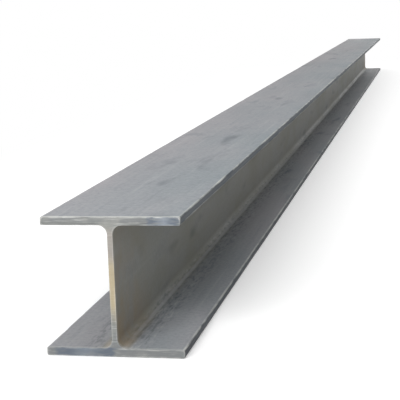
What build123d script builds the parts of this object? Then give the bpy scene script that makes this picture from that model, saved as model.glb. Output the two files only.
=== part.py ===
"""Hot-rolled wide-flange steel H-beam, cut to a stock length.

The beam lies on its lower flange with the web upright. X runs across the flanges, Y along the
rolled length and Z up. The origin is the middle of the face that the beam rests on.
"""

import os

from build123d import *

# Rolled section, in millimetres
section_depth = 200.0
flange_width = 200.0
web_thickness = 8.0
flange_thickness = 12.0
root_radius = 13.0
toe_radius = 2.0

# Stock length between the two square saw cuts, in millimetres
stock_length = 6000.0

# A toe can be rounded no further than to a half round, with a little flat left between its two corners
toe_flat = 0.2


def corners_at(section, half_width):
    """The corners of the section that lie at this distance from its upright centre line."""
    reach = 0.01
    return [corner for corner in section.vertices() if abs(abs(corner.X) - half_width) < reach]


def rolled_section():
    """The H profile: two parallel flanges on a thin web, with root fillets and softened flange toes."""
    web_height = section_depth - 2 * flange_thickness
    lower_flange_middle = flange_thickness / 2
    upper_flange_middle = section_depth - flange_thickness / 2
    rounded_toe = min(toe_radius, (flange_thickness - toe_flat) / 2)
    with BuildSketch() as section:
        with Locations((0, lower_flange_middle), (0, upper_flange_middle)):
            Rectangle(flange_width, flange_thickness)
        with Locations((0, section_depth / 2)):
            Rectangle(web_thickness, web_height)
        fillet(corners_at(section, web_thickness / 2), root_radius)
        fillet(corners_at(section, flange_width / 2), rounded_toe)
    return section.sketch


def sawn_beam():
    """The profile run out to the stock length, half of it each way from the origin."""
    upright = Plane(origin=(0, 0, 0), x_dir=(1, 0, 0), z_dir=(0, -1, 0))
    return extrude(upright * rolled_section(), amount=stock_length / 2, both=True)


h_beam = sawn_beam()
h_beam.label = "h_beam"

os.makedirs("parts", exist_ok=True)
export_step(h_beam, "parts/h_beam.step")
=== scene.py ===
"""Hot-rolled steel H-beam: its worn edges, sawn ends and mill scale, on a plain stage.

The file is laid out as an add-on and is run as a script. Lengths are metres unless a name says mm.
The beam lies along Y on its lower flange, with its front end at the lowest Y.
"""

import math
from types import SimpleNamespace

import bmesh
import bpy
import numpy as np
from bpy.props import FloatProperty, FloatVectorProperty, IntProperty, PointerProperty
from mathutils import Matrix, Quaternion, Vector


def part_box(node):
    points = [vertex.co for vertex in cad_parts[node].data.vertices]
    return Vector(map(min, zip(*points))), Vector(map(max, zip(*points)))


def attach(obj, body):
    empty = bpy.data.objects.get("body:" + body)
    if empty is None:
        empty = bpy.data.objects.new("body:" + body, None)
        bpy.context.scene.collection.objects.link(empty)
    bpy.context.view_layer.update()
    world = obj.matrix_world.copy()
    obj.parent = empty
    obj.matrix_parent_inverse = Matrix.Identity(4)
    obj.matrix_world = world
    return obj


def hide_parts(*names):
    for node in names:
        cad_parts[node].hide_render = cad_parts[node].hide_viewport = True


bl_info = {
    "name": "Hot-rolled H-beam",
    "version": (1, 0, 0),
    "blender": (4, 5, 0),
    "location": "3D View > Sidebar > H-beam",
    "description": "Rolls, saws and finishes a steel H-beam, and sets it on a plain stage",
    "category": "Object",
}

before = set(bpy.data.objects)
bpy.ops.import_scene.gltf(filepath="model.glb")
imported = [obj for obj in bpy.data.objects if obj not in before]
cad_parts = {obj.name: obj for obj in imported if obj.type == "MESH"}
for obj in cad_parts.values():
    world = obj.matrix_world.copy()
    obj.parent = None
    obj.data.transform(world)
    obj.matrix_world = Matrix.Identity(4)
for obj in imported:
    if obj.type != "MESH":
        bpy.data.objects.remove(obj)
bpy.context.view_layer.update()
BEAM_LOW, BEAM_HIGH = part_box("h_beam")
BEAM_SIZE = BEAM_HIGH - BEAM_LOW
MM = 0.001

# How finely the section's mesh is divided
TOE_STEPS = 3
FLANGE_STEPS = 6
FILLET_STEPS = 8
WEB_COLUMNS = 8
TOE_COLUMN = 4 * MM
COLUMN_WIDTH = 5 * MM
WEB_ROW = 2.5 * MM

# A face that looks along the beam more than this is sawn
SAWN_FACING = 0.7

# An edge that folds more than these is a cut's rim, or is shaded hard
RIM_FOLD = math.radians(60)
HARD_FOLD = math.radians(40)

# The saw's axle, over the beam and to its right
SAW_AXLE = (0.25, 0.0, 1.15)

# Where a pale highlight is painted along the lower root fillet, measured from the web's middle
ROOT_HIGHLIGHT = 13 * MM

# Stains on the web's cut: colour, height of the middle, reach up and down from it, and cover
WEB_STAINS = (("blush", 155 * MM, 40 * MM, 0.6), ("tan", 99 * MM, 55 * MM, 0.8))

# Dabs of marking paint on the front end: flange, middle and reach along X, and how pale the middle is
PAINT_DABS = (("upper", 77 * MM, 24 * MM, 0.55), ("lower", -43 * MM, 44 * MM, 0.3))

# Patterns of the mill scale and of the cuts: the size of their features in mm along X, Y and Z, then
# detail, roughness and distortion where they aren't a noise's usual ones.
# The mottle and the torn grain are drawn coarser than real, so that they show.
SCALE_PATTERNS = {
    "clouds": ((60, 200, 60), 4.0, 0.6, 0.3),
    "mottle": ((6, 6, 6), 4.0, 0.65),
    "warmth": ((160, 500, 160), 3.0),
    "streaks": ((9, 500, 9), 3.0, 0.6),
    "grease": ((45, 180, 45), 1.5),
    "litter": ((5, 25, 5), 2.0),
    "bloom": ((70, 70, 70), 5.0, 0.6),
    "rubbing": ((22, 146.7, 22), 4.0, 0.7),
    "grinding": ((18, 18, 18), 4.0, 0.6),
}
CUT_PATTERNS = {
    "patches": ((28, 28, 28), 4.0, 0.6),
    "bands": ((35.7, 2.5, 2.5), 3.0, 0.6),
    "stain": ((30, 30, 30), 4.0),
    "bristles": ((25, 5, 5), 3.0, 0.55),
    "breaks": ((14, 14, 14), 4.0),
    "grain": ((2, 2, 2), 3.0, 0.7),
}
PATTERN_SETTINGS = ("Detail", "Roughness", "Distortion")

# The floor's size, how far it lies below the beam, and where its lit paint starts and ends fading to white
FLOOR_SIZE = 60.0
FLOOR_DROP = 0.5 * MM
FADE_FROM = 0.25
FADE_TO = 1.0

# The setting of a Map Range that eases in and out
EASED = {"interpolation_type": "SMOOTHSTEP"}


def srgb(code):
    """The linear colour of an sRGB hex code."""
    levels = [int(code[place:place + 2], 16) / 255 for place in (0, 2, 4)]
    linear = [v / 12.92 if v <= 0.04045 else ((v + 0.055) / 1.055) ** 2.4 for v in levels]
    return (*linear, 1.0)


def per_metre(size_mm):
    """The scale that gives a texture's features this size in millimetres."""
    return 1000.0 / size_mm


def add(tree, kind, sockets=None, **settings):
    """Add a node with its settings, and fill its sockets with values or link them to other nodes."""
    node = tree.nodes.new(kind)
    for name, value in settings.items():
        setattr(node, name, value)
    for key, value in (sockets or {}).items():
        named = isinstance(key, str)
        socket = next(s for s in node.inputs if s.enabled and s.name == key) if named else node.inputs[key]
        for source in value if isinstance(value, list) else [value]:
            if isinstance(source, bpy.types.Node):
                source = next(s for s in source.outputs if s.enabled)
            if isinstance(source, bpy.types.NodeSocket):
                tree.links.new(source, socket)
            else:
                socket.default_value = source
    return node


def away(tree, value, middle):
    """How far a value lies from a middle one, either way."""
    past = add(tree, "ShaderNodeMath", {0: value, 1: middle}, operation="SUBTRACT")
    return add(tree, "ShaderNodeMath", {0: past}, operation="ABSOLUTE")


def length(name, text, default):
    """A size in metres that a user can change."""
    return FloatProperty(name=name, description=text, default=default, unit="LENGTH", precision=4)


def power(name, text, default):
    """A lamp's power in watts that a user can change."""
    return FloatProperty(name=name, description=text, default=default, unit="POWER")


def factor(name, text, default):
    """A strength from nothing to full that a user can change."""
    return FloatProperty(name=name, description=text, default=default, subtype="FACTOR", min=0.0, max=1.0)


def colour(name, text, code):
    """A colour that a user can change, from its hex code."""
    return FloatVectorProperty(
        name=name, description=text, default=srgb(code), size=4, subtype="COLOR", min=0.0, max=1.0)


class BeamSizes(bpy.types.PropertyGroup):
    """The rolled section, its stock length, and the marks that rolling, sawing and handling leave"""

    width: length("Flange Width", "Width across the flanges", BEAM_SIZE.x)
    stock: length("Stock Length", "Length between the two saw cuts", BEAM_SIZE.y)
    depth: length("Section Depth", "Height over both flanges", BEAM_SIZE.z)
    web: length("Web Thickness", "Thickness of the upright web", 8 * MM)
    flange: length("Flange Thickness", "Thickness of each flange", 12 * MM)
    root: length("Root Radius", "Radius of the fillets between web and flanges", 13 * MM)
    toe: length("Toe Radius", "Radius of the flange edges", 2 * MM)
    rings: IntProperty(name="Rings", description="Rings along the length, closest at the cuts", default=181)
    wave_depth: length("Wave Depth", "How far the rolled faces sink between high spots", 0.25 * MM)
    wave_size: length("Wave Size", "Distance between high spots of the rolled faces", 0.35)
    nick_depth: length("Nick Depth", "Depth of handling nicks in the flange edges", 1.6 * MM)
    nick_size: length("Nick Size", "Length of handling nicks in the flange edges", 16 * MM)
    saw_depth: length("Saw Mark Depth", "Depth of the saw's marks in the cut ends", 0.35 * MM)
    saw_pitch: length("Saw Mark Pitch", "Distance between the saw's marks", 3.4 * MM)
    burr: length("Burr Height", "Height of the ragged lip that the saw leaves", 1.2 * MM)
    seed: IntProperty(name="Seed", description="Picks where waves, nicks and burrs fall", default=7)


class BeamColours(bpy.types.PropertyGroup):
    """The colours of mill scale, sawn steel, rust and marking paint, some of which also paint light and
    shade
    """

    scale_cool: colour("Cool Scale", "Blue-grey of tight mill scale", "838a8e")
    # The warm scale is also lighter, and paints light on the left of the upper flange
    scale_warm_and_lit: colour("Warm Scale", "Mauve-grey of thinner mill scale", "99979a")
    scale_dark: colour("Dark Scale", "Thicker patches and streaks", "6f7479")
    # The pale scale also paints the highlight along the lower root fillet
    scale_pale: colour("Pale Scale", "Rubbed streaks and dusty patches", "aaacae")
    film: colour("Web Film", "Olive film on the sheltered web", "8b8b81")
    # The edge colour is partly painted shade on the flange edges
    edge: colour("Edge Scale", "Dark scale on the flange edges", "3a4047")
    fleck: colour("Scale Fleck", "Loose flakes of dark scale and greasy smudges", "454c54")
    # The scuff colour also paints a highlight along the cut's rim on the upper face
    scuff: colour("Scuff", "Bare steel on worn edges and torn bands", "cdcec9")
    # The rust colour is lightened to paint the light on the lower web near the cuts
    rust: colour("Rust", "Thin rust where the scale has come off", "94846c")
    steel: colour("Sawn Steel", "Pale grey of the sawn ends", "888985")
    steel_dark: colour("Sawn Steel Shade", "Oxidised patches of the sawn ends", "6c6f71")
    # This colour is painted shade along the lower edge of the upper flange's cut
    painted_edge_shade: colour("Burnt Steel", "Dull lower edge of the upper flange's cut", "535653")
    # The burr colour is partly a painted highlight along the cut's upper rim
    burr: colour("Burr", "Bright broken burr round the cuts", "d9d9d4")
    blush: colour("Heat Blush", "Pinkish tint of the upper web end", "968e87")
    tan: colour("Tan Rust", "Yellow-brown stain of the web end", "ab9d7e")
    paint: colour("Mark Paint", "Slate blue of the marking dabs", "5b636d")
    paint_pale: colour("Mark Paint Pale", "Thin light blue of the marking dabs", "939aa1")


class StageSettings(bpy.types.PropertyGroup):
    """The camera's place and the light on the stage"""

    camera_side: length("Camera Side", "Camera's distance to the right of the web", 0.44)
    camera_back: length("Camera Back", "Camera's distance in front of the front end", 1.52)
    camera_rise: length("Camera Rise", "Camera's height over the upper flange", 0.293)
    aim_in: length("Aim In", "How far behind the front end the camera aims", 0.63)
    aim_height: length("Aim Height", "Height on the web that the camera aims at", 0.112)
    camera_roll: FloatProperty(
        name="Camera Roll", description="How far the camera leans to the right", default=math.radians(2.0),
        subtype="ANGLE")
    lens: FloatProperty(name="Lens", description="Focal length in mm", default=105.0, unit="CAMERA")
    key_power: power("Key Power", "Softbox at the front", 196.0)
    top_power: power("Top Power", "Overhead softbox", 113.0)
    back_power: power("Back Power", "Low softbox behind", 60.0)
    sky: factor("Sky", "Strength of the light from all round", 0.34)
    floor: colour("Floor", "Pale studio floor as it looks", "f2f2f2")
    floor_bounce: colour("Floor Bounce", "What the floor throws back on the beam", "b4b4b4")
    floor_lift: factor("Floor Lift", "What brings the lit floor to white at the front end", 0.2)
    back_lift: factor("Back Lift", "The same at the dimmer back end", 0.55)


def flange_rows(sizes):
    """Heights through a flange from its outer face, with the half width that the rounded toes leave."""
    half = sizes.width / 2
    turns = np.linspace(0, math.pi / 2, TOE_STEPS + 1)
    arc = [(sizes.toe * (1 - math.cos(turn)), half - sizes.toe * (1 - math.sin(turn))) for turn in turns]
    flat = np.linspace(sizes.toe, sizes.flange - sizes.toe, FLANGE_STEPS + 1)[1:-1]
    inner = [(sizes.flange - rise, reach) for rise, reach in arc[::-1]]
    return arc + [(height, half) for height in flat] + inner


def flange_columns(sizes, reach):
    """Places across a flange row, from toe to toe, with the web's own columns in the middle."""
    neck = sizes.web / 2 + sizes.root
    last = sizes.width / 2 - TOE_COLUMN
    count = round((last - neck) / COLUMN_WIDTH)
    side = [*np.linspace(neck, last, count + 1)[1:], reach]
    middle = np.linspace(-neck, neck, WEB_COLUMNS + 1)
    return [-place for place in side[::-1]] + list(middle) + side


def web_rows(sizes):
    """Heights up the web from flange to flange, with the half width that the root fillets leave there."""
    low = sizes.flange + sizes.root
    high = sizes.depth - low
    neck = sizes.web / 2 + sizes.root
    turns = np.linspace(0, math.pi / 2, FILLET_STEPS + 1)
    arc = [(low - sizes.root * math.cos(turn), neck - sizes.root * math.sin(turn)) for turn in turns]
    flat = np.linspace(low, high, round((high - low) / WEB_ROW) + 1)[1:-1]
    above = [(sizes.depth - height, reach) for height, reach in arc[::-1]]
    return arc + [(height, sizes.web / 2) for height in flat] + above


def add_sheet(section, rows):
    """Add a sheet of four-sided faces that look along -Y, from rows of (x, z) places."""
    points = [[section.verts.new((x, 0.0, z)) for x, z in row] for row in rows]
    for low, high in zip(points, points[1:]):
        for left in range(len(low) - 1):
            section.faces.new((low[left], low[left + 1], high[left + 1], high[left]))


def measure_outline(section):
    """Mark each point on the section's edge with its way round the outline, and return the whole way."""
    around = section.verts.layers.float.new("around")
    start = min((v for v in section.verts if v.is_boundary), key=lambda v: v.co.length)
    here, last, walked = start, None, 0.0
    while True:
        step = next(e for e in here.link_edges if e.is_boundary and e is not last)
        walked += step.calc_length()
        here, last = step.other_vert(here), step
        if here is start:
            return walked
        here[around] = walked


def section_mesh(sizes):
    """The flat H-section as a mesh of four-sided faces, with the length of its outline."""
    section = bmesh.new()
    flange = flange_rows(sizes)
    shares = np.linspace(-1, 1, WEB_COLUMNS + 1)
    add_sheet(section, [[(x, z) for x in flange_columns(sizes, reach)] for z, reach in flange])
    add_sheet(section, [[(share * reach, z) for share in shares] for z, reach in web_rows(sizes)])
    add_sheet(section, [
        [(x, sizes.depth - z) for x in flange_columns(sizes, reach)] for z, reach in flange[::-1]])
    bmesh.ops.remove_doubles(section, verts=section.verts, dist=0.001 * MM)
    outline = measure_outline(section)
    mesh = bpy.data.meshes.new("h_section")
    section.to_mesh(mesh)
    section.free()
    return mesh, outline


# Inputs of the rolling tree, each with its socket and the property that fills it
ROLLING_INPUTS = {
    "Length": ("NodeSocketFloat", "stock"),
    "Width": ("NodeSocketFloat", "width"),
    "Depth": ("NodeSocketFloat", "depth"),
    "Rings": ("NodeSocketInt", "rings"),
    "Wave Depth": ("NodeSocketFloat", "wave_depth"),
    "Wave Size": ("NodeSocketFloat", "wave_size"),
    "Nick Depth": ("NodeSocketFloat", "nick_depth"),
    "Nick Size": ("NodeSocketFloat", "nick_size"),
    "Saw Mark Depth": ("NodeSocketFloat", "saw_depth"),
    "Saw Mark Pitch": ("NodeSocketFloat", "saw_pitch"),
    "Burr Height": ("NodeSocketFloat", "burr"),
    "Seed": ("NodeSocketInt", "seed"),
}


def rolling_fields(tree, given):
    """What the steps of the rolling tree ask of a point: its place, its normal and its distances."""
    at = SimpleNamespace()
    at.half_length, half_width, half_depth = (
        add(tree, "ShaderNodeMath", {0: given[size], 1: 0.5}, operation="MULTIPLY")
        for size in ("Length", "Width", "Depth"))
    at.place = add(tree, "GeometryNodeInputPosition")
    axes = add(tree, "ShaderNodeSeparateXYZ", {"Vector": at.place}).outputs
    across = add(tree, "ShaderNodeMath", {0: axes["X"]}, operation="ABSOLUTE")
    along = add(tree, "ShaderNodeMath", {0: axes["Y"]}, operation="ABSOLUTE")
    off_middle = away(tree, axes["Z"], half_depth)
    at.from_toe = add(tree, "ShaderNodeMath", {0: half_width, 1: across}, operation="SUBTRACT")
    at.from_cut = add(tree, "ShaderNodeMath", {0: at.half_length, 1: along}, operation="SUBTRACT")
    at.from_face = add(tree, "ShaderNodeMath", {0: half_depth, 1: off_middle}, operation="SUBTRACT")
    at.which_end = add(tree, "ShaderNodeMath", {0: axes["Y"]}, operation="SIGN")
    at.normal = add(tree, "GeometryNodeInputNormal")
    at.inward = add(
        tree, "ShaderNodeVectorMath", {0: at.normal, 1: (-1.0, -1.0, -1.0)}, operation="MULTIPLY")
    at.fold = add(tree, "GeometryNodeInputMeshEdgeAngle")
    return at


def rolled_shell(tree, given, at):
    """Draw the section's edge along Y, rings closest at the cuts, and close it with the section itself."""
    front_at = add(tree, "ShaderNodeMath", {0: at.half_length, 1: -1.0}, operation="MULTIPLY")
    line = add(tree, "GeometryNodeCurvePrimitiveLine", {"End": (0.0, 1.0, 0.0)})
    rings = add(tree, "GeometryNodeResampleCurve", {"Curve": line, "Count": given["Rings"]}, mode="COUNT")
    share = add(tree, "GeometryNodeSplineParameter").outputs["Factor"]
    station = add(
        tree, "ShaderNodeMapRange", {"Value": share, "To Min": front_at, "To Max": at.half_length}, **EASED)
    on_axis = add(tree, "ShaderNodeCombineXYZ", {"Y": station})
    path = add(tree, "GeometryNodeSetPosition", {"Geometry": rings, "Position": on_axis})
    neighbours = add(tree, "GeometryNodeInputMeshEdgeNeighbors")
    is_edge = add(
        tree, "FunctionNodeCompare", {"A": neighbours, "B": 1}, data_type="INT", operation="EQUAL")
    edge = add(tree, "GeometryNodeMeshToCurve", {"Mesh": given["Section"], "Selection": is_edge})
    profile = add(tree, "GeometryNodeTransform", {"Geometry": edge, "Rotation": (math.pi / 2, 0.0, 0.0)})
    drawn = add(tree, "GeometryNodeCurveToMesh", {"Curve": path, "Profile Curve": profile})
    skin = add(tree, "GeometryNodeSetMaterial", {"Geometry": drawn, "Material": given["Skin"]})

    # Each point of a cut keeps its distance from the rim, for the finish
    rim = add(tree, "GeometryNodeCurveToMesh", {"Curve": edge})
    from_rim = add(tree, "GeometryNodeProximity", {"Geometry": rim}, target_element="EDGES")
    cut = add(
        tree, "GeometryNodeStoreNamedAttribute",
        {"Geometry": given["Section"], "Name": "from_rim", "Value": from_rim.outputs["Distance"]},
        data_type="FLOAT", domain="POINT")
    to_front = add(tree, "ShaderNodeCombineXYZ", {"Y": front_at})
    to_back = add(tree, "ShaderNodeCombineXYZ", {"Y": at.half_length})
    front = add(tree, "GeometryNodeTransform", {"Geometry": cut, "Translation": to_front})
    back = add(tree, "GeometryNodeTransform", {"Geometry": cut, "Translation": to_back})
    turned = add(tree, "GeometryNodeFlipFaces", {"Mesh": back})
    parts = add(tree, "GeometryNodeJoinGeometry", {"Geometry": [skin, front, turned]})
    return add(tree, "GeometryNodeMergeByDistance", {"Geometry": parts, "Distance": 0.01 * MM})


def mark_sawn_faces(tree, at, beam):
    """Mark the sawn faces before anything moves."""
    facing = add(tree, "ShaderNodeSeparateXYZ", {"Vector": at.normal}).outputs
    end_facing = add(tree, "ShaderNodeMath", {0: facing["Y"]}, operation="ABSOLUTE")
    is_sawn = add(
        tree, "FunctionNodeCompare", {"A": end_facing, "B": SAWN_FACING}, operation="GREATER_THAN")
    return add(
        tree, "GeometryNodeStoreNamedAttribute", {"Geometry": beam, "Name": "sawn", "Value": is_sawn},
        data_type="BOOLEAN", domain="FACE")


def sink_faces(tree, given, at, beam):
    """Let the rolled faces sink a little between high spots."""
    wave_scale = add(tree, "ShaderNodeMath", {0: 1.0, 1: given["Wave Size"]}, operation="DIVIDE")
    wave = add(
        tree, "ShaderNodeTexNoise",
        {"Vector": at.place, "W": given["Seed"], "Scale": wave_scale, "Detail": 1.0}, noise_dimensions="4D")
    sink = add(tree, "ShaderNodeMath", {0: wave, 1: given["Wave Depth"]}, operation="MULTIPLY")
    sunk = add(tree, "ShaderNodeVectorMath", {0: at.inward, "Scale": sink}, operation="SCALE")
    return add(tree, "GeometryNodeSetPosition", {"Geometry": beam, "Offset": sunk})


def nick_edges(tree, given, at, beam):
    """Nick the flange edges as handling does, deepest near the cuts."""
    at_toe = add(
        tree, "ShaderNodeMapRange",
        {"Value": at.from_toe, "From Min": 5 * MM, "From Max": 0.5 * MM}, **EASED)
    at_cut = add(
        tree, "ShaderNodeMapRange",
        {"Value": at.from_cut, "From Min": 0.9, "From Max": 0.0, "To Min": 0.3}, **EASED)
    nick_scale = add(tree, "ShaderNodeMath", {0: 1.0, 1: given["Nick Size"]}, operation="DIVIDE")
    knocks = add(
        tree, "ShaderNodeTexNoise",
        {"Vector": at.place, "W": given["Seed"], "Scale": nick_scale, "Detail": 2.0}, noise_dimensions="4D")
    nick = add(tree, "ShaderNodeMapRange", {"Value": knocks, "From Min": 0.58, "From Max": 0.8}, **EASED)
    for share in (given["Nick Depth"], at_toe, at_cut):
        nick = add(tree, "ShaderNodeMath", {0: nick, 1: share}, operation="MULTIPLY")
    pushed = add(tree, "ShaderNodeVectorMath", {0: at.inward, "Scale": nick}, operation="SCALE")
    return add(tree, "GeometryNodeSetPosition", {"Geometry": beam, "Offset": pushed})


def saw_ends(tree, given, at, beam):
    """Leave the saw's marks in the ends: its disc came down from above, so they are arcs round its axle."""
    from_axle = add(tree, "ShaderNodeVectorMath", {0: at.place, 1: SAW_AXLE}, operation="SUBTRACT")
    in_plane = add(tree, "ShaderNodeVectorMath", {0: from_axle, 1: (1.0, 0.0, 1.0)}, operation="MULTIPLY")
    reach = add(tree, "ShaderNodeVectorMath", {0: in_plane}, operation="LENGTH").outputs["Value"]
    strokes = add(tree, "ShaderNodeMath", {0: reach, 1: given["Saw Mark Pitch"]}, operation="DIVIDE")
    turns = add(tree, "ShaderNodeMath", {0: strokes, 1: 2 * math.pi}, operation="MULTIPLY")
    ripple = add(tree, "ShaderNodeMath", {0: turns}, operation="SINE")
    chatter = add(tree, "ShaderNodeTexNoise", {"Vector": at.place, "Scale": per_metre(11), "Detail": 3.0})
    cut = add(tree, "ShaderNodeMath", {0: ripple, 1: 0.25, 2: chatter}, operation="MULTIPLY_ADD")
    at_end = add(
        tree, "ShaderNodeMapRange", {"Value": at.from_cut, "From Min": 8 * MM, "From Max": 0.0}, **EASED)
    for share in (given["Saw Mark Depth"], at_end, at.which_end, -1.0):
        cut = add(tree, "ShaderNodeMath", {0: cut, 1: share}, operation="MULTIPLY")
    shaved = add(tree, "ShaderNodeCombineXYZ", {"Y": cut})
    return add(tree, "GeometryNodeSetPosition", {"Geometry": beam, "Offset": shaved})


def raise_burr(tree, given, at, beam):
    """Raise a ragged burr from the rim inside the section, never past the outer faces."""
    is_rim = add(tree, "FunctionNodeCompare", {"A": at.fold, "B": RIM_FOLD}, operation="GREATER_THAN")
    is_inside = add(tree, "FunctionNodeCompare", {"A": at.from_face, "B": 6 * MM}, operation="GREATER_THAN")
    inner_rim = add(tree, "FunctionNodeBooleanMath", {0: is_inside, 1: is_rim}, operation="AND")
    inside_toe = add(
        tree, "ShaderNodeMapRange",
        {"Value": at.from_toe, "From Min": 2.5 * MM, "From Max": 6 * MM}, **EASED)
    tears = add(
        tree, "ShaderNodeTexNoise",
        {"Vector": at.place, "W": given["Seed"], "Scale": per_metre(9), "Detail": 3.0},
        noise_dimensions="4D")
    lip = add(tree, "ShaderNodeMapRange", {"Value": tears, "From Min": 0.4, "From Max": 0.72}, **EASED)
    for share in (given["Burr Height"], inside_toe):
        lip = add(tree, "ShaderNodeMath", {0: lip, 1: share}, operation="MULTIPLY")
    in_plane = add(tree, "ShaderNodeVectorMath", {0: at.normal, 1: (1.0, 0.0, 1.0)}, operation="MULTIPLY")
    outward = add(tree, "ShaderNodeVectorMath", {0: in_plane}, operation="NORMALIZE")
    raised = add(tree, "ShaderNodeVectorMath", {0: outward, "Scale": lip}, operation="SCALE")
    return add(
        tree, "GeometryNodeSetPosition", {"Geometry": beam, "Selection": inner_rim, "Offset": raised})


def finish_faces(tree, given, at, beam):
    """Smooth the rolled faces, keep the cut edges hard, and give the sawn faces their own finish."""
    smooth = add(tree, "GeometryNodeSetShadeSmooth", {"Geometry": beam, "Shade Smooth": True})
    is_hard = add(tree, "FunctionNodeCompare", {"A": at.fold, "B": HARD_FOLD}, operation="GREATER_THAN")
    hard = add(
        tree, "GeometryNodeSetShadeSmooth",
        {"Geometry": smooth, "Selection": is_hard, "Shade Smooth": False}, domain="EDGE")
    real = add(tree, "GeometryNodeRealizeInstances", {"Geometry": hard})
    was_sawn = add(tree, "GeometryNodeInputNamedAttribute", {"Name": "sawn"}, data_type="BOOLEAN")
    return add(
        tree, "GeometryNodeSetMaterial",
        {"Geometry": real, "Selection": was_sawn, "Material": given["Sawn End"]})


def rolling_tree():
    """Geometry nodes that draw the section out to its length, saw it off square and wear its edges."""
    tree = bpy.data.node_groups.new("roll_and_saw", "GeometryNodeTree")
    tree.interface.new_socket("Section", in_out="INPUT", socket_type="NodeSocketGeometry")
    for name, (kind, _) in ROLLING_INPUTS.items():
        tree.interface.new_socket(name, in_out="INPUT", socket_type=kind)
    for name in ("Skin", "Sawn End"):
        tree.interface.new_socket(name, in_out="INPUT", socket_type="NodeSocketMaterial")
    tree.interface.new_socket("Beam", in_out="OUTPUT", socket_type="NodeSocketGeometry")
    given = add(tree, "NodeGroupInput").outputs
    at = rolling_fields(tree, given)
    beam = mark_sawn_faces(tree, at, rolled_shell(tree, given, at))
    for step in (sink_faces, nick_edges, saw_ends, raise_burr, finish_faces):
        beam = step(tree, given, at, beam)
    add(tree, "NodeGroupOutput", {"Beam": beam})
    return tree


def roll(piece, sizes, skin, end):
    """Run the rolling tree on the piece's flat section, and leave the beam as a plain mesh."""
    tree = rolling_tree()
    values = {name: getattr(sizes, prop) for name, (_, prop) in ROLLING_INPUTS.items()}
    values["Skin"] = skin
    values["Sawn End"] = end
    rolling = piece.modifiers.new("roll_and_saw", "NODES")
    rolling.node_group = tree
    for item in tree.interface.items_tree:
        if item.name in values:
            rolling[item.identifier] = values[item.name]
    depsgraph = bpy.context.evaluated_depsgraph_get()
    section = piece.data
    beam = bpy.data.meshes.new_from_object(piece.evaluated_get(depsgraph), depsgraph=depsgraph)
    piece.modifiers.remove(rolling)
    piece.data = beam
    bpy.data.meshes.remove(section)
    if not beam.polygons:
        raise RuntimeError("the rolling tree gave no faces")


def map_for_bake(mesh, sizes, outline):
    """Unroll the skin into one strip, drawn out near the cuts, with the sawn ends enlarged beside it."""
    gutter = 0.01
    strip_width = 0.62
    end_width = 1 - strip_width - 3 * gutter
    end_height = (1 - 3 * gutter) / 2
    drawn_out = 0.6
    corners = np.empty(len(mesh.loops), int)
    mesh.loops.foreach_get("vertex_index", corners)
    corners = corners.reshape(-1, 4)
    places = np.empty(len(mesh.vertices) * 3)
    mesh.vertices.foreach_get("co", places)
    x, y, z = np.moveaxis(places.reshape(-1, 3)[corners], 2, 0)
    around = np.empty(len(mesh.vertices))
    mesh.attributes["around"].data.foreach_get("value", around)
    around = around[corners]
    past_seam = np.ptp(around, axis=1) > outline / 2
    around[past_seam[:, None] & (around < outline / 2)] += outline
    sawn = np.empty(len(mesh.polygons), bool)
    mesh.attributes["sawn"].data.foreach_get("value", sawn)
    at_back = (y.mean(axis=1) > 0)[:, None]

    # The rings stand at smooth steps along the beam, and this finds their even count again
    along = np.clip(y / sizes.stock + 0.5, 0, 1)
    ring = 0.5 - np.sin(np.arcsin(1 - 2 * along) / 3)
    skin_u = gutter + strip_width * around / outline
    skin_v = gutter + (1 - 2 * gutter) * (drawn_out * ring + (1 - drawn_out) * along)
    end_u = 2 * gutter + strip_width + end_width * (x / sizes.width + 0.5)
    end_v = gutter + end_height * z / sizes.depth + at_back * (end_height + gutter)
    u = np.where(sawn[:, None], end_u, skin_u)
    v = np.where(sawn[:, None], end_v, skin_v)
    layer = mesh.uv_layers.new(name="OFBake")
    layer.uv.foreach_set("vector", np.stack((u, v), axis=2).astype(np.float32).ravel())


def empty_tree(owner):
    """The node tree of a new material or world, with nothing in it."""
    owner.use_nodes = True
    owner.node_tree.nodes.clear()
    return owner.node_tree


def place_fields(tree, patterns):
    """A point's place along each axis of its object, with what each pattern gives there."""
    place = add(tree, "ShaderNodeTexCoord").outputs["Object"]
    axes = add(tree, "ShaderNodeSeparateXYZ", {"Vector": place}).outputs
    at = SimpleNamespace(x=axes["X"], y=axes["Y"], z=axes["Z"])
    for name, (sizes_mm, *values) in patterns.items():
        scale = tuple(per_metre(size_mm) for size_mm in sizes_mm)
        sized = add(tree, "ShaderNodeMapping", {"Vector": place, "Scale": scale})
        settings = dict(zip(PATTERN_SETTINGS, values))
        setattr(at, name, add(tree, "ShaderNodeTexNoise", {"Vector": sized, "Scale": 1.0, **settings}))
    return at


def layered(tree, shade, layers):
    """Lay tints over a shade in turn, each by the product of its covers."""
    for tint, cover, *others in layers:
        for other in others:
            cover = add(tree, "ShaderNodeMath", {0: cover, 1: other}, operation="MULTIPLY")
        shade = add(tree, "ShaderNodeMix", {"Factor": cover, "A": shade, "B": tint}, data_type="RGBA")
    return shade


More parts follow.
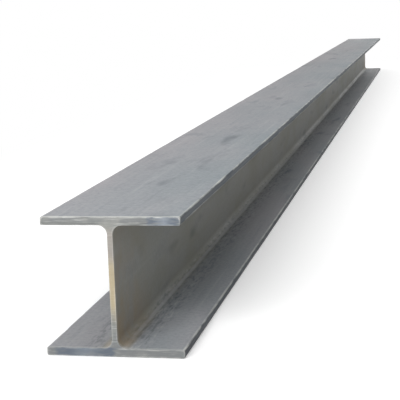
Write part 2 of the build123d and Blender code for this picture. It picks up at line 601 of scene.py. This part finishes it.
def skin_fields(tree, sizes):
    """What the mill scale reads at a point: its place, its patterns, and the faces it lies on."""
    at = place_fields(tree, SCALE_PATTERNS)
    at.sizes = sizes
    half = sizes.depth / 2
    at.across = add(tree, "ShaderNodeMath", {0: at.x}, operation="ABSOLUTE")
    at.along = add(tree, "ShaderNodeMath", {0: at.y}, operation="ABSOLUTE")
    at.rise = add(tree, "ShaderNodeMath", {0: at.z, 1: half}, operation="SUBTRACT")
    off_middle = add(tree, "ShaderNodeMath", {0: at.rise}, operation="ABSOLUTE")
    at.off_flange = away(tree, off_middle, half - sizes.flange / 2)

    # The web, and the lower flange's inner face, both between the flanges' outer faces
    between = add(
        tree, "ShaderNodeMapRange",
        {"Value": off_middle, "From Min": half - 4 * MM, "From Max": half - 8 * MM})
    by_web = add(
        tree, "ShaderNodeMapRange", {"Value": at.across, "From Min": 26 * MM, "From Max": 10 * MM}, **EASED)
    low = add(
        tree, "ShaderNodeMapRange", {"Value": at.rise, "From Min": -78 * MM, "From Max": -86 * MM}, **EASED)
    at.on_web = add(tree, "ShaderNodeMath", {0: by_web, 1: between}, operation="MULTIPLY")
    at.low_face = add(tree, "ShaderNodeMath", {0: low, 1: between}, operation="MULTIPLY")
    return at


def warm_oxide_and_left_light(tree, at, colours):
    """Warmer oxide in patches, and painted light that makes the upper flange lighter toward its left."""
    half = at.sizes.width / 2
    drift = add(
        tree, "ShaderNodeMapRange",
        {"Value": at.warmth, "From Min": 0.3, "From Max": 0.7, "To Min": 0.25, "To Max": 0.75}, **EASED)
    # Painted light: the warm, lighter scale leans toward the left of the upper flange
    painted_left_light = add(
        tree, "ShaderNodeMapRange",
        {"Value": at.x, "From Min": -half, "From Max": half, "To Min": 0.45, "To Max": -0.4})
    upper = add(tree, "ShaderNodeMapRange", {"Value": at.rise, "From Min": 0.0, "From Max": 50 * MM})
    warm_and_left_lit = add(
        tree, "ShaderNodeMath", {0: painted_left_light, 1: upper, 2: drift}, operation="MULTIPLY_ADD", use_clamp=True)
    return [(colours.scale_warm_and_lit, warm_and_left_lit)]


def rolling_streaks(tree, at, colours):
    """Dark and pale streaks that the rolls drew along the beam."""
    dark = add(
        tree, "ShaderNodeMapRange",
        {"Value": at.streaks, "From Min": 0.52, "From Max": 0.75, "To Max": 0.2}, **EASED)
    pale = add(
        tree, "ShaderNodeMapRange",
        {"Value": at.streaks, "From Min": 0.46, "From Max": 0.25, "To Max": 0.24}, **EASED)
    return [(colours.scale_dark, dark), (colours.scale_pale, pale)]


def cloudy_scale(tree, at, colours):
    """Clouds of thicker scale and a dusty or pitted mottle, with an olive film over both on the web."""
    thick = add(
        tree, "ShaderNodeMapRange",
        {"Value": at.clouds, "From Min": 0.56, "From Max": 0.72, "To Max": 0.5}, **EASED)
    dusty = add(
        tree, "ShaderNodeMapRange",
        {"Value": at.mottle, "From Min": 0.45, "From Max": 0.85, "To Max": 0.45})
    pitted = add(
        tree, "ShaderNodeMapRange", {"Value": at.mottle, "From Min": 0.45, "From Max": 0.2, "To Max": 0.5})
    patchy = add(
        tree, "ShaderNodeMapRange",
        {"Value": at.clouds, "From Min": 0.35, "From Max": 0.65, "To Min": 0.85, "To Max": 0.5})
    return [
        (colours.scale_dark, thick),
        (colours.scale_pale, dusty),
        (colours.scale_dark, pitted),
        (colours.film, at.on_web, patchy),
    ]


def greasy_smudges(tree, at, colours):
    """Smudges wiped along the beam, few and far between."""
    smudged = add(
        tree, "ShaderNodeMapRange",
        {"Value": at.grease, "From Min": 0.61, "From Max": 0.85, "To Max": 0.55}, **EASED)
    return [(colours.fleck, smudged)]


def dark_and_shaded_edges(tree, at, colours):
    """The rolls bear hardest on the flange edges, so the scale there is dark; painted shade darkens it
    further, and a painted highlight leaves it a little paler across the middle.
    """
    half = at.sizes.width / 2
    # Dark scale and painted shade on the flange edges
    edge_scale_and_shade = add(
        tree, "ShaderNodeMapRange",
        {"Value": at.across, "From Min": half - 1.5 * MM, "From Max": half - 0.6 * MM, "To Max": 0.85})
    # Painted highlight: the edge is a little less dark across its middle
    beside = add(
        tree, "ShaderNodeMapRange",
        {"Value": at.off_flange, "From Min": 1 * MM, "From Max": 4 * MM, "To Min": 0.8}, **EASED)
    return [(colours.edge, edge_scale_and_shade, beside)]


def root_litter(tree, at, colours):
    """Flecks of loose scale in drifts on the lower flange, and a thin pale painted highlight along the root
    fillet.
    """
    by_root = add(
        tree, "ShaderNodeMapRange", {"Value": at.across, "From Min": 56 * MM, "From Max": 34 * MM}, **EASED)
    drifts = (by_root, at.low_face, at.clouds)
    dark = add(
        tree, "ShaderNodeMapRange", {"Value": at.litter, "From Min": 0.5, "From Max": 0.64, "To Max": 0.75})
    pale = add(tree, "ShaderNodeMapRange", {"Value": at.litter, "From Min": 0.4, "From Max": 0.3})
    # Painted highlight: a thin pale line along the lower root fillet
    off_line = away(tree, at.across, ROOT_HIGHLIGHT)
    root_highlight = add(
        tree, "ShaderNodeMapRange",
        {"Value": off_line, "From Min": 4 * MM, "From Max": 1 * MM, "To Max": 0.55}, **EASED)
    return [
        (colours.fleck, dark, *drifts),
        (colours.scale_pale, pale, *drifts),
        (colours.scale_pale, root_highlight, at.low_face),
    ]


def cut_rust_and_light(tree, at, colours):
    """Rust where scale has flaked off close to the cuts, most on the lower web, lightened there to paint
    the light that falls on the lower web.
    """
    cut = at.sizes.stock / 2
    near_cut = add(
        tree, "ShaderNodeMapRange", {"Value": at.along, "From Min": cut - 0.25, "From Max": cut}, **EASED)
    # Painted light: the rust grows and is lightened toward the lower web
    lower = add(
        tree, "ShaderNodeMapRange",
        {"Value": at.rise, "From Min": 60 * MM, "From Max": -70 * MM, "To Min": 0.25, "To Max": 0.9})
    flaked = add(tree, "ShaderNodeMapRange", {"Value": at.bloom, "From Min": 0.3, "From Max": 0.7}, **EASED)
    return [(colours.rust, near_cut, at.on_web, lower, flaked)]


def bare_steel(tree, at, colours):
    """Bare steel where handling rubbed the flange corners, and in a ground band along the cut's rim that is
    also a painted highlight, strongest on the upper face.
    """
    edge = at.sizes.width / 2
    corner = at.sizes.flange / 2
    at_edge = add(
        tree, "ShaderNodeMapRange",
        {"Value": at.across, "From Min": edge - 4 * MM, "From Max": edge - 1.5 * MM}, **EASED)
    at_corner = add(
        tree, "ShaderNodeMapRange",
        {"Value": at.off_flange, "From Min": corner - 3 * MM, "From Max": corner - 1 * MM})
    edge_wear = add(
        tree, "ShaderNodeMapRange",
        {"Value": at.rubbing, "From Min": 0.4, "From Max": 0.62, "To Max": 0.75})
    for share in (at_edge, at_corner):
        edge_wear = add(tree, "ShaderNodeMath", {0: edge_wear, 1: share}, operation="MULTIPLY")

    cut = at.sizes.stock / 2
    top = at.sizes.depth / 2
    ground_to = add(
        tree, "ShaderNodeMath", {0: at.grinding, 1: 9 * MM, 2: at.along}, operation="MULTIPLY_ADD")
    ground = add(
        tree, "ShaderNodeMapRange",
        {"Value": ground_to, "From Min": cut - 3 * MM, "From Max": cut + 1 * MM}, **EASED)
    # Painted highlight: the ground band is strongest along the upper face's cut edge
    highlight_on_top = add(
        tree, "ShaderNodeMapRange",
        {"Value": at.rise, "From Min": top - 8 * MM, "From Max": top - 2 * MM, "To Min": 0.2,
         "To Max": 0.65})
    rim_wear_and_highlight = add(tree, "ShaderNodeMath", {0: ground, 1: highlight_on_top}, operation="MULTIPLY")
    wear_and_highlight = add(tree, "ShaderNodeMath", {0: edge_wear, 1: rim_wear_and_highlight}, operation="MAXIMUM")
    return [(colours.scuff, wear_and_highlight)]


def mill_scale(colours, sizes):
    """Hot-rolled steel with its mill scale on.

    The rolls leave a tight blue-grey oxide, matt with a faint sheen. It is streaked along the rolling
    direction, clouded in patches a few centimetres wide, filmed with olive on the web, rubbed bright on
    the flange edges, and rusty where it has flaked off near the cuts. Light and shade are painted in too:
    lighter scale on the left of the upper flange, shade on the flange edges, a highlight along the lower
    root fillet and along the cut's upper rim, and lightened rust on the lower web.
    """
    material = bpy.data.materials.new("hot_rolled_mill_scale")
    tree = empty_tree(material)
    at = skin_fields(tree, sizes)
    shade = colours.scale_cool
    for mark in (warm_oxide_and_left_light, rolling_streaks, cloudy_scale, greasy_smudges, dark_and_shaded_edges, root_litter,
                 cut_rust_and_light, bare_steel):
        shade = layered(tree, shade, mark(tree, at, colours))

    # Dustier scale is rougher, and its surface is finely pitted
    roughness = add(
        tree, "ShaderNodeMapRange",
        {"Value": at.clouds, "From Min": 0.3, "From Max": 0.7, "To Min": 0.74, "To Max": 0.6})
    relief = add(tree, "ShaderNodeMath", {0: at.mottle, 1: 0.5, 2: at.clouds}, operation="MULTIPLY_ADD")
    bump = add(tree, "ShaderNodeBump", {"Height": relief, "Strength": 0.6, "Distance": 0.3 * MM})
    surface = add(
        tree, "ShaderNodeBsdfPrincipled",
        {"Base Color": shade, "Roughness": roughness, "Normal": bump, "Specular IOR Level": 0.08})
    add(tree, "ShaderNodeOutputMaterial", {"Surface": surface})
    return material


def cut_fields(tree, sizes):
    """What the sawn finish reads at a point: its place, its patterns, and whether it is off the web."""
    at = place_fields(tree, CUT_PATTERNS)
    at.sizes = sizes
    at.across = add(tree, "ShaderNodeMath", {0: at.x}, operation="ABSOLUTE")
    at.off_web = add(
        tree, "ShaderNodeMapRange", {"Value": at.across, "From Min": 12 * MM, "From Max": 22 * MM})
    return at


def oxidised_patches(tree, at, colours):
    """Oxidised patches, more of them on the flanges and the web's foot than higher up."""
    at_foot = add(tree, "ShaderNodeMapRange", {"Value": at.z, "From Min": 60 * MM, "From Max": 25 * MM})
    low_or_out = add(tree, "ShaderNodeMath", {0: at.off_web, 1: at_foot}, operation="MAXIMUM")
    dulled = add(
        tree, "ShaderNodeMath", {0: low_or_out, 1: 0.16, 2: at.patches}, operation="MULTIPLY_ADD")
    oxidised = add(
        tree, "ShaderNodeMapRange",
        {"Value": dulled, "From Min": 0.4, "From Max": 0.75, "To Max": 0.8}, **EASED)
    return [(colours.steel_dark, oxidised)]


def torn_bands(tree, at, colours):
    """Dark and pale bands that the saw's teeth tore across the cut."""
    dark = add(
        tree, "ShaderNodeMapRange", {"Value": at.bands, "From Min": 0.52, "From Max": 0.68, "To Max": 0.6})
    pale = add(
        tree, "ShaderNodeMapRange", {"Value": at.bands, "From Min": 0.47, "From Max": 0.32, "To Max": 0.35})
    return [(colours.steel_dark, dark), (colours.scuff, pale)]


def web_stains(tree, at, colours):
    """A pinkish blush high on the web and a yellow-brown stain halfway down, both with wandering edges."""
    sway = 50 * MM
    spreading = add(
        tree, "ShaderNodeMath", {0: at.stain, 1: 24 * MM, 2: at.across}, operation="MULTIPLY_ADD")
    on_web = add(
        tree, "ShaderNodeMapRange", {"Value": spreading, "From Min": 44 * MM, "From Max": 16 * MM}, **EASED)
    wander = add(tree, "ShaderNodeMath", {0: at.stain, 1: sway, 2: at.z}, operation="MULTIPLY_ADD")
    layers = []
    for name, middle, reach, cover in WEB_STAINS:
        off_stain = away(tree, wander, middle + sway / 2)
        stained = add(
            tree, "ShaderNodeMapRange",
            {"Value": off_stain, "From Min": reach, "From Max": 15 * MM, "To Max": cover}, **EASED)
        layers.append((getattr(colours, name), stained, on_web))
    return layers


def shaded_flange_edge(tree, at, colours):
    """Painted shade: the lower edge of the upper flange's cut is darkened, with a ragged reach."""
    off_edge = away(tree, at.z, at.sizes.depth - at.sizes.flange)
    toward_shaded_edge = add(
        tree, "ShaderNodeMath", {0: at.patches, 1: -6 * MM, 2: off_edge}, operation="MULTIPLY_ADD")
    # Painted shade along the lower edge of the upper flange's cut
    painted_edge_shade = add(
        tree, "ShaderNodeMapRange",
        {"Value": toward_shaded_edge, "From Min": 3 * MM, "From Max": -1 * MM, "To Max": 0.45}, **EASED)
    return [(colours.painted_edge_shade, painted_edge_shade, at.off_web)]


def paint_dabs(tree, at, colours):
    """Thin dabs of marking paint on the front end, ragged where the brush left them."""
    sway = 30 * MM
    half = at.sizes.flange / 2
    flange_middle = {"upper": at.sizes.depth - half, "lower": half}
    laid_on = add(
        tree, "ShaderNodeMapRange", {"Value": at.bristles, "From Min": 0.3, "From Max": 0.5, "To Min": 0.3})
    is_front = add(tree, "ShaderNodeMath", {0: at.y, 1: 0.0}, operation="LESS_THAN")
    layers = []
    for flange, middle, reach, paleness in PAINT_DABS:
        off_dab = away(tree, at.x, middle)
        ragged = add(
            tree, "ShaderNodeMath", {0: at.bristles, 1: sway, 2: off_dab}, operation="MULTIPLY_ADD")
        edge = reach + sway / 2
        spread = add(
            tree, "ShaderNodeMapRange",
            {"Value": ragged, "From Min": edge + 3 * MM, "From Max": edge - 5 * MM}, **EASED)
        core = add(
            tree, "ShaderNodeMapRange",
            {"Value": ragged, "From Min": 0.6 * reach + sway / 2, "From Max": sway / 2, "To Max": paleness})
        off_flange = away(tree, at.z, flange_middle[flange])
        on_flange = add(tree, "ShaderNodeMath", {0: off_flange, 1: half + 1 * MM}, operation="LESS_THAN")
        paint = add(
            tree, "ShaderNodeMix", {"Factor": core, "A": colours.paint, "B": colours.paint_pale},
            data_type="RGBA")
        layers.append((paint, spread, on_flange, is_front, laid_on))
    return layers


def burr_and_highlight(tree, at, colours):
    """The burr round the rim is bright and broken, and brightest along the upper face as a painted
    highlight.
    """
    top = at.sizes.depth
    from_rim = add(tree, "ShaderNodeAttribute", attribute_name="from_rim").outputs["Fac"]
    rim_burr_and_highlight = add(
        tree, "ShaderNodeMapRange", {"Value": from_rim, "From Min": 2.4 * MM, "From Max": 0.6 * MM})
    broken = add(tree, "ShaderNodeMapRange", {"Value": at.breaks, "From Min": 0.35, "From Max": 0.65})
    # Painted highlight: the burr is strongest toward the upper face
    upper = add(
        tree, "ShaderNodeMapRange",
        {"Value": at.z, "From Min": top - 8 * MM, "From Max": top - 2 * MM, "To Min": 0.25, "To Max": 0.65})
    return [(colours.burr, rim_burr_and_highlight, broken, upper)]


def sawn_end(colours, sizes):
    """Hot-sawn steel: a pale grey cut with a dull torn grain.

    The disc saw leaves near-level bands and a bright burr, brightened along the upper face as a painted
    highlight. Weather has stained the web's cut yellow-brown halfway down and blushed it above, the lower
    edge of the upper flange's cut is darkened as painted shade, and two thin dabs of blue marking paint
    are brushed on the front end.
    """
    material = bpy.data.materials.new("hot_sawn_steel_end")
    tree = empty_tree(material)
    at = cut_fields(tree, sizes)
    shade = colours.steel
    for mark in (oxidised_patches, torn_bands, web_stains, shaded_flange_edge, paint_dabs, burr_and_highlight):
        shade = layered(tree, shade, mark(tree, at, colours))
    bump = add(tree, "ShaderNodeBump", {"Height": at.grain, "Strength": 0.5, "Distance": 0.3 * MM})
    surface = add(
        tree, "ShaderNodeBsdfPrincipled",
        {"Base Color": shade, "Metallic": 0.2, "Roughness": 0.55, "Specular IOR Level": 0.4,
         "Normal": bump})
    add(tree, "ShaderNodeOutputMaterial", {"Surface": surface})
    return material


def seen_directly(tree):
    """1 where the camera sees the surface itself, or in a mirror or through glass, and 0 for its light."""
    ray = add(tree, "ShaderNodeLightPath").outputs
    mirrored = add(
        tree, "ShaderNodeMath", {0: ray["Is Camera Ray"], 1: ray["Is Glossy Ray"]}, operation="MAXIMUM")
    return add(tree, "ShaderNodeMath", {0: mirrored, 1: ray["Is Transmission Ray"]}, operation="MAXIMUM")


def studio_floor(settings, sizes):
    """Matt pale floor paint: white to the eye, with the beam's shadow on it and no horizon far off."""
    material = bpy.data.materials.new("pale_studio_floor")
    tree = empty_tree(material)
    at = place_fields(tree, {})
    half = sizes.stock / 2
    along = add(tree, "ShaderNodeMath", {0: at.y}, operation="ABSOLUTE")
    past_end = add(tree, "ShaderNodeMath", {0: along, 1: half}, operation="SUBTRACT")
    beyond = add(tree, "ShaderNodeMath", {0: past_end, 1: 0.0}, operation="MAXIMUM")
    aside = add(tree, "ShaderNodeCombineXYZ", {"X": at.x, "Y": beyond})
    distance = add(tree, "ShaderNodeVectorMath", {0: aside}, operation="LENGTH").outputs["Value"]
    far = add(
        tree, "ShaderNodeMapRange",
        {"Value": distance, "From Min": FADE_FROM, "From Max": FADE_TO}, **EASED)
    seen = seen_directly(tree)
    paint = add(
        tree, "ShaderNodeMix", {"Factor": seen, "A": settings.floor_bounce, "B": settings.floor},
        data_type="RGBA")
    lifted = add(
        tree, "ShaderNodeMapRange",
        {"Value": at.y, "From Min": -half, "From Max": half, "To Min": settings.floor_lift,
         "To Max": settings.back_lift})
    lift = add(tree, "ShaderNodeMath", {0: seen, 1: lifted}, operation="MULTIPLY")
    matt = add(tree, "ShaderNodeBsdfDiffuse", {"Color": paint})
    glow = add(tree, "ShaderNodeEmission", {"Strength": lift})
    near = add(tree, "ShaderNodeAddShader", {0: matt, 1: glow})
    white = add(tree, "ShaderNodeEmission", {"Color": (1.0, 1.0, 1.0, 1.0), "Strength": 1.0})
    surface = add(tree, "ShaderNodeMixShader", {"Fac": far, 1: near, 2: white})
    add(tree, "ShaderNodeOutputMaterial", {"Surface": surface})
    return material


def white_surround(settings):
    """A world that looks white and lights the beam softly from all round."""
    world = bpy.data.worlds.new("white_surround")
    tree = empty_tree(world)
    seen = seen_directly(tree)
    strength = add(tree, "ShaderNodeMapRange", {"Value": seen, "To Min": settings.sky, "To Max": 1.0})
    sky = add(tree, "ShaderNodeBackground", {"Color": (1.0, 1.0, 1.0, 1.0), "Strength": strength})
    add(tree, "ShaderNodeOutputWorld", {"Surface": sky})
    return world


def lay_floor(scene, settings, sizes):
    """Lay the floor just under the beam."""
    sheet = bmesh.new()
    bmesh.ops.create_grid(sheet, x_segments=1, y_segments=1, size=FLOOR_SIZE / 2)
    bmesh.ops.translate(sheet, verts=sheet.verts, vec=(0.0, 0.0, -FLOOR_DROP))
    mesh = bpy.data.meshes.new("studio_floor")
    sheet.to_mesh(mesh)
    sheet.free()
    mesh.materials.append(studio_floor(settings, sizes))
    floor = bpy.data.objects.new("studio_floor", mesh)
    scene.collection.objects.link(floor)


def hang_softboxes(scene, settings, sizes):
    """Hang a softbox before each end and a wide one overhead, nearer the front end."""
    end = sizes.stock / 2
    middle = sizes.depth / 2
    nearer = -1.3

    # Name, power, width and length, place, and what each one faces
    softboxes = (
        ("front_softbox", settings.key_power, (3.0, 2.0), (-0.8, -end - 3.5, 2.2), (0.0, -end, middle)),
        ("back_softbox", settings.back_power, (3.0, 1.2), (0.8, end + 3.5, 0.8), (0.0, end, middle)),
        ("overhead_softbox", settings.top_power, (5.0, 7.5), (-0.6, nearer, 4.0), (0.0, nearer, middle)),
    )
    for name, watts, (wide, long), place, target in softboxes:
        light = bpy.data.lights.new(name, "AREA")
        light.shape = "RECTANGLE"
        light.size = wide
        light.size_y = long
        light.energy = watts
        lamp = bpy.data.objects.new(name, light)
        lamp.location = place
        lamp.rotation_euler = (Vector(target) - Vector(place)).to_track_quat("-Z", "Y").to_euler()
        scene.collection.objects.link(lamp)


def aim_camera(scene, settings, sizes):
    """Stand the camera to the right of the front end, aim it along the beam and lean it."""
    front = -sizes.stock / 2
    eye = Vector((settings.camera_side, front - settings.camera_back, sizes.depth + settings.camera_rise))
    aim = Vector((0.0, front + settings.aim_in, settings.aim_height))
    camera = bpy.data.objects.new("camera", bpy.data.cameras.new("camera"))
    camera.data.lens = settings.lens
    camera.location = eye
    level = (aim - eye).to_track_quat("-Z", "Y")
    lean = Quaternion((0.0, 0.0, -1.0), settings.camera_roll)
    camera.rotation_euler = (level @ lean).to_euler()
    scene.collection.objects.link(camera)
    scene.camera = camera


class HBEAM_OT_roll(bpy.types.Operator):
    """Roll the beam from its section, saw its ends and give it its finish"""

    bl_idname = "h_beam.roll"
    bl_label = "Roll Beam"

    def execute(self, context):
        sizes = context.scene.h_beam_sizes
        colours = context.scene.h_beam_colours
        section, outline = section_mesh(sizes)
        skin = mill_scale(colours, sizes)
        section.materials.append(skin)
        piece = bpy.data.objects.new("rolled_h_beam", section)
        context.collection.objects.link(piece)
        roll(piece, sizes, skin, sawn_end(colours, sizes))
        map_for_bake(piece.data, sizes, outline)
        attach(piece, "root")
        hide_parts("h_beam")
        return {"FINISHED"}


class HBEAM_OT_set_stage(bpy.types.Operator):
    """Set the floor, the lights and the camera"""

    bl_idname = "h_beam.set_stage"
    bl_label = "Set Stage"

    def execute(self, context):
        scene = context.scene
        settings = scene.h_beam_stage
        sizes = scene.h_beam_sizes
        lay_floor(scene, settings, sizes)
        hang_softboxes(scene, settings, sizes)
        scene.world = white_surround(settings)
        aim_camera(scene, settings, sizes)
        scene.view_settings.view_transform = "Standard"
        return {"FINISHED"}


class HBEAM_PT_panel(bpy.types.Panel):
    """Sizes, colours and steps of the beam"""

    bl_idname = "HBEAM_PT_panel"
    bl_label = "H-beam"
    bl_space_type = "VIEW_3D"
    bl_region_type = "UI"
    bl_category = "H-beam"

    def draw(self, context):
        for operator in (HBEAM_OT_roll, HBEAM_OT_set_stage):
            self.layout.operator(operator.bl_idname)
        for group in SCENE_GROUPS:
            values = getattr(context.scene, group)
            column = self.layout.column(align=True)
            for name in values.__annotations__:
                column.prop(values, name)


SCENE_GROUPS = {"h_beam_sizes": BeamSizes, "h_beam_colours": BeamColours, "h_beam_stage": StageSettings}
CLASSES = (*SCENE_GROUPS.values(), HBEAM_OT_roll, HBEAM_OT_set_stage, HBEAM_PT_panel)


def register():
    for each in CLASSES:
        bpy.utils.register_class(each)
    for name, group in SCENE_GROUPS.items():
        setattr(bpy.types.Scene, name, PointerProperty(type=group))


def unregister():
    for name in SCENE_GROUPS:
        delattr(bpy.types.Scene, name)
    for each in reversed(CLASSES):
        bpy.utils.unregister_class(each)


def main():
    """Build the beam and its stage."""
    register()
    bpy.ops.h_beam.roll()
    bpy.ops.h_beam.set_stage()


if __name__ == "__main__":
    main()
